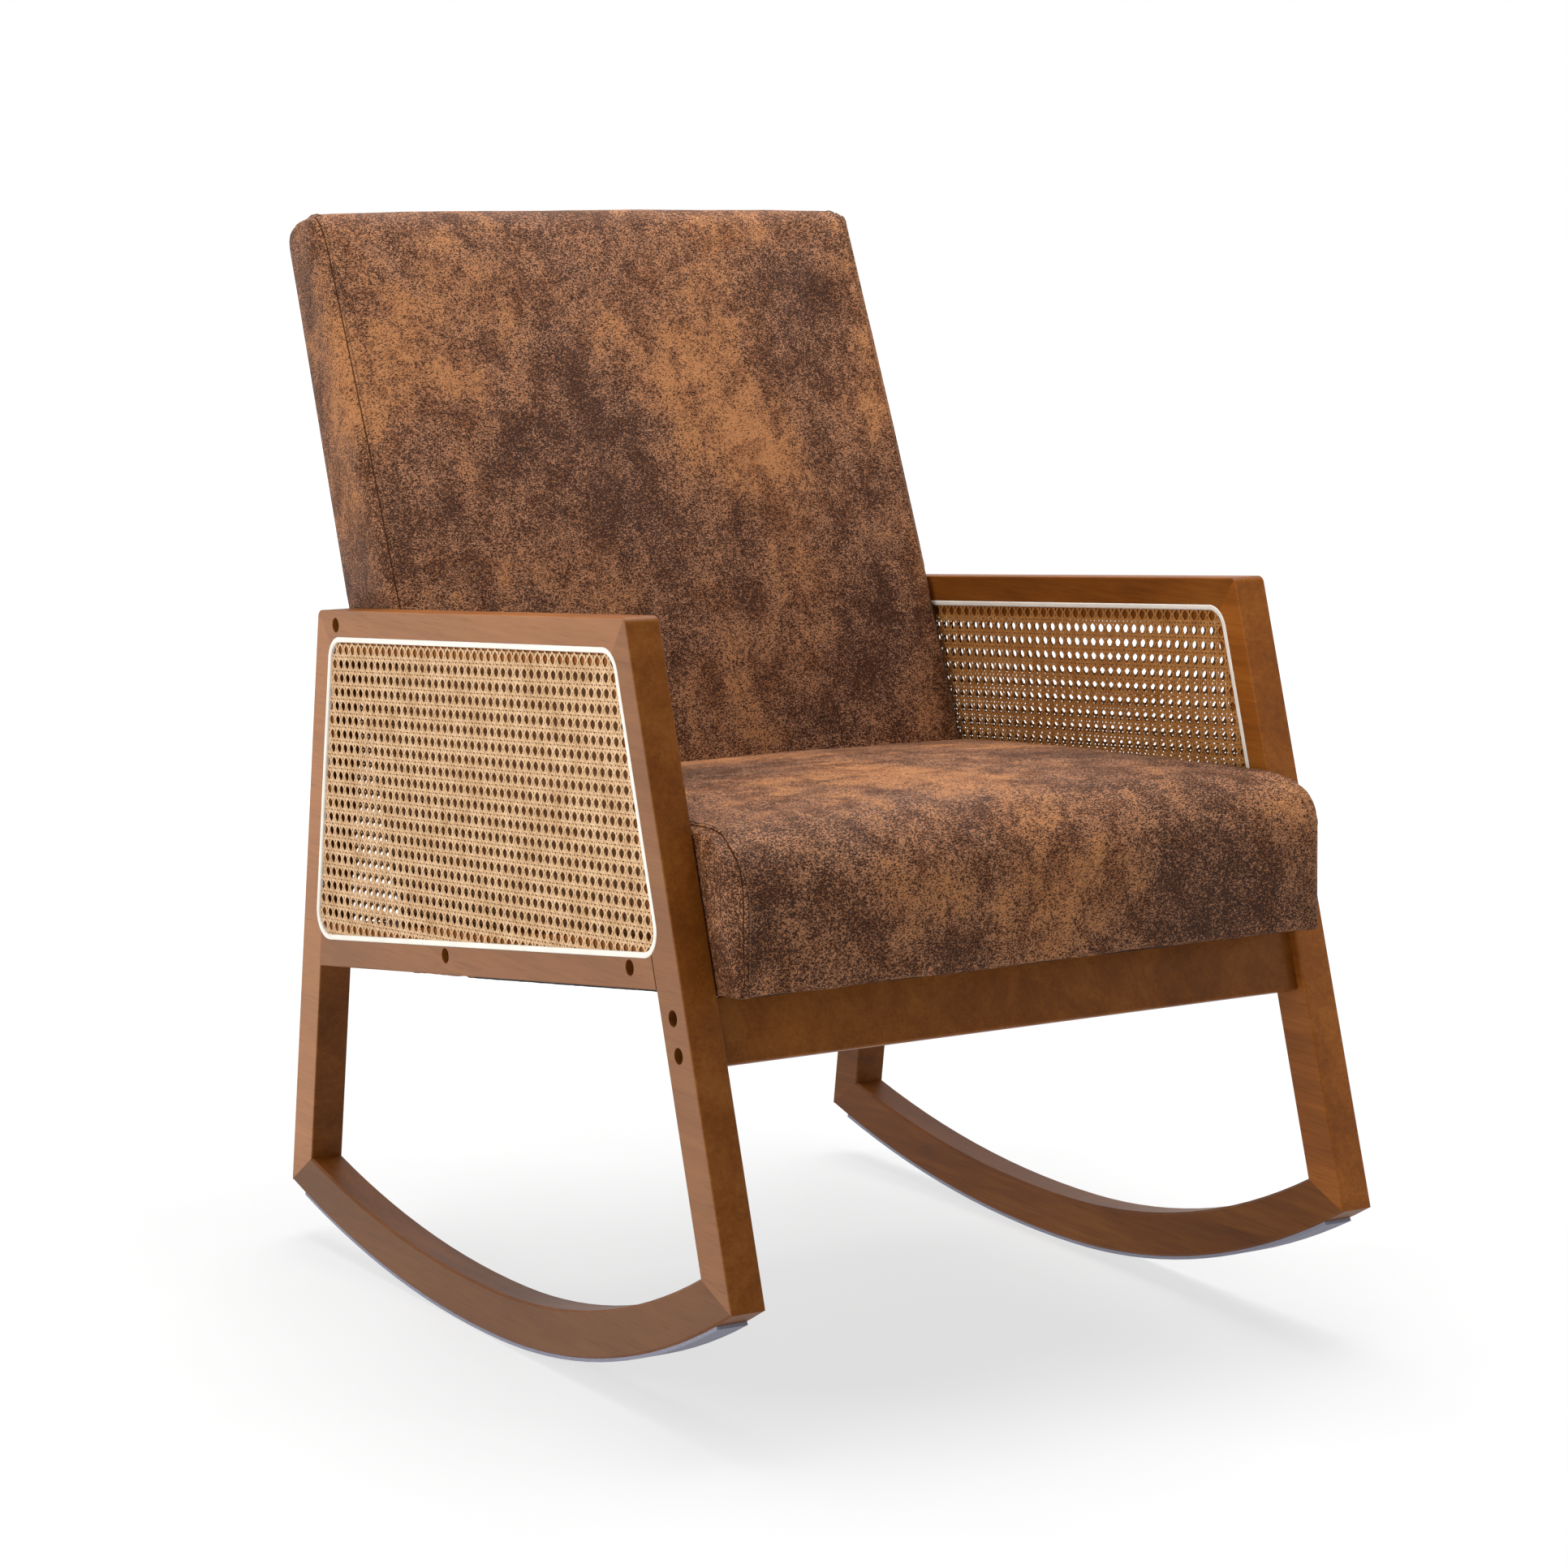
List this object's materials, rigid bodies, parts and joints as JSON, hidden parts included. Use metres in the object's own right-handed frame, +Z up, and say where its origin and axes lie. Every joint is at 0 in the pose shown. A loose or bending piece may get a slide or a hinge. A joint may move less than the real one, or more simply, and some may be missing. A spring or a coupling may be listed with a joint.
{
  "type": "upholstered rocking chair",
  "caption": "Rocking chair with walnut stained side frames, double cane side panels with white bead, and a padded seat and raked back in mottled brown leather.",
  "frame": {"origin": "on the floor, midway across the width and midway along the depth, with the rockers at their set-down pose", "axes": "+Z up, the sitter faces -Y, +X runs to the sitter's left"},
  "size_m": [0.6412, 0.8644, 0.9576],
  "materials": {
    "frame_wood": "satin",
    "plain_wood": "matte",
    "cane": "matte",
    "bead": "satin",
    "leather": "satin",
    "foam": "matte",
    "webbing": "matte",
    "dust_cloth": "matte",
    "felt": "matte",
    "steel": "satin"
  },
  "bodies": {
    "root": {"right_arm_rail": "frame_wood", "right_front_leg": "frame_wood", "right_rear_leg": "frame_wood", "right_side_rail": "frame_wood", "right_rocker": "frame_wood", "right_dowels": "plain_wood", "right_outer_cane": "cane", "right_inner_cane": "cane", "right_outer_bead": "bead", "right_inner_bead": "bead", "right_felt_strip": "felt", "left_arm_rail": "frame_wood", "left_front_leg": "frame_wood", "left_rear_leg": "frame_wood", "left_side_rail": "frame_wood", "left_rocker": "frame_wood", "left_dowels": "plain_wood", "left_outer_cane": "cane", "left_inner_cane": "cane", "left_outer_bead": "bead", "left_inner_bead": "bead", "left_felt_strip": "felt", "front_apron": "frame_wood", "apron_bolts": "steel", "apron_barrel_nuts": "steel", "seat_bolts": "steel", "seat_insert_nuts": "steel", "back_bolts": "steel", "back_insert_nuts": "steel", "seat_right_rail": "plain_wood", "seat_left_rail": "plain_wood", "seat_front_rail": "plain_wood", "seat_rear_rail": "plain_wood", "seat_corner_blocks": "plain_wood", "corner_block_screws": "steel", "seat_webbing": "webbing", "seat_foam": "foam", "seat_cover": "leather", "seat_dust_cover": "dust_cloth", "back_right_post": "plain_wood", "back_left_post": "plain_wood", "back_top_rail": "plain_wood", "back_middle_rail": "plain_wood", "back_foot_rail": "plain_wood", "back_webbing": "webbing", "back_foam": "foam", "back_cover": "leather", "seat_back_plates": "steel", "plate_screws": "steel"}
  },
  "joints": []
}
